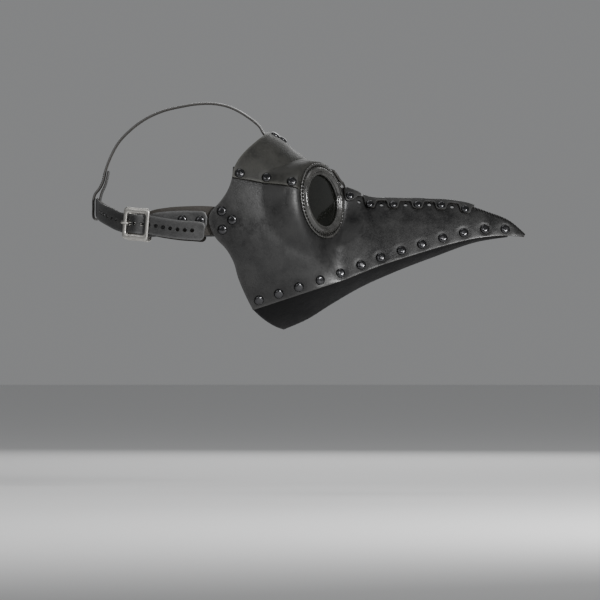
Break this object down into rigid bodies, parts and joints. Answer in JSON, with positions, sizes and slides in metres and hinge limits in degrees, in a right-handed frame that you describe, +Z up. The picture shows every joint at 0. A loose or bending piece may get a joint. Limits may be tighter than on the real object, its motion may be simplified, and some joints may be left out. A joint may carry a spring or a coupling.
{
  "type": "plague doctor mask",
  "caption": "Riveted leather plague doctor mask with round glass eyes, a long hooked beak, a crown strap and a rear strap with a buckle at each side.",
  "frame": {"origin": "middle of the wearer's head at eye level, on the mask's plane of symmetry, where the head holds the mask", "axes": "+X forward along the beak, +Y to the wearer's left, +Z up"},
  "size_m": [0.4546, 0.1784, 0.2386],
  "materials": {
    "side_leather": "smooth vegetable-tanned side, dyed black, satin wax, edges burnished",
    "brow_leather": "smooth dyed leather, slightly warm charcoal, satin",
    "lower_leather": "softer matt black leather",
    "ridge_leather": "smooth black leather, rounded shiny edges",
    "rim_leather": "moulded black leather ring with a polished roll and a row of stitches",
    "strap_leather": "firm black strap leather, slightly worn",
    "lens_glass": "dark tinted lens, glossy",
    "nickel": "nickel plate, brushed by wear",
    "rivet_metal": "black nickel, glossy dome"
  },
  "bodies": {
    "mask": {"brow_panel": "brow_leather", "buckle_tab_left": "strap_leather", "buckle_tab_right": "strap_leather", "crown_rivet_left": "rivet_metal", "crown_rivet_middle": "rivet_metal", "crown_rivet_right": "rivet_metal", "crown_strap": "strap_leather", "ear_rivet_left_1": "rivet_metal", "ear_rivet_left_2": "rivet_metal", "ear_rivet_left_3": "rivet_metal", "ear_rivet_right_1": "rivet_metal", "ear_rivet_right_2": "rivet_metal", "ear_rivet_right_3": "rivet_metal", "eye_rim_left": "rim_leather", "eye_rim_right": "rim_leather", "jaw_rivet_left_01": "rivet_metal", "jaw_rivet_left_02": "rivet_metal", "jaw_rivet_left_03": "rivet_metal", "jaw_rivet_left_04": "rivet_metal", "jaw_rivet_left_05": "rivet_metal", "jaw_rivet_left_06": "rivet_metal", "jaw_rivet_left_07": "rivet_metal", "jaw_rivet_left_08": "rivet_metal", "jaw_rivet_left_09": "rivet_metal", "jaw_rivet_left_10": "rivet_metal", "jaw_rivet_left_11": "rivet_metal", "jaw_rivet_left_12": "rivet_metal", "jaw_rivet_left_13": "rivet_metal", "jaw_rivet_right_01": "rivet_metal", "jaw_rivet_right_02": "rivet_metal", "jaw_rivet_right_03": "rivet_metal", "jaw_rivet_right_04": "rivet_metal", "jaw_rivet_right_05": "rivet_metal", "jaw_rivet_right_06": "rivet_metal", "jaw_rivet_right_07": "rivet_metal", "jaw_rivet_right_08": "rivet_metal", "jaw_rivet_right_09": "rivet_metal", "jaw_rivet_right_10": "rivet_metal", "jaw_rivet_right_11": "rivet_metal", "jaw_rivet_right_12": "rivet_metal", "jaw_rivet_right_13": "rivet_metal", "lens_left": "lens_glass", "lens_retainer_left": "rim_leather", "lens_retainer_right": "rim_leather", "lens_right": "lens_glass", "lower_beak_left": "lower_leather", "lower_beak_right": "lower_leather", "nose_bridge": "ridge_leather", "rear_strap": "strap_leather", "ridge_strip": "ridge_leather", "side_panel_left": "side_leather", "side_panel_right": "side_leather", "tab_rivet_left_1": "rivet_metal", "tab_rivet_left_2": "rivet_metal", "tab_rivet_right_1": "rivet_metal", "tab_rivet_right_2": "rivet_metal"},
    "buckle_right": {"buckle_frame_right": "nickel"},
    "buckle_left": {"buckle_frame_left": "nickel"},
    "prong_right": {"buckle_prong_right": "nickel"},
    "prong_left": {"buckle_prong_left": "nickel"}
  },
  "joints": [
    {"name": "buckle_rock_right", "type": "hinge", "parent": "mask", "child": "buckle_right", "pos_m": [-0.0896, -0.0776, -0.0028], "axis": [0.0829, -0.0269, 0.9962], "range_deg": [-1.5, 1.5]},
    {"name": "buckle_rock_left", "type": "hinge", "parent": "mask", "child": "buckle_left", "pos_m": [-0.0896, 0.0776, -0.0028], "axis": [-0.0829, -0.0269, -0.9962], "range_deg": [-1.5, 1.5]},
    {"name": "prong_lift_right", "type": "hinge", "parent": "buckle_right", "child": "prong_right", "pos_m": [-0.0896, -0.0776, -0.0028], "axis": [0.0829, -0.0269, 0.9962], "range_deg": [0, 8]},
    {"name": "prong_lift_left", "type": "hinge", "parent": "buckle_left", "child": "prong_left", "pos_m": [-0.0896, 0.0776, -0.0028], "axis": [-0.0829, -0.0269, -0.9962], "range_deg": [0, 8]}
  ]
}
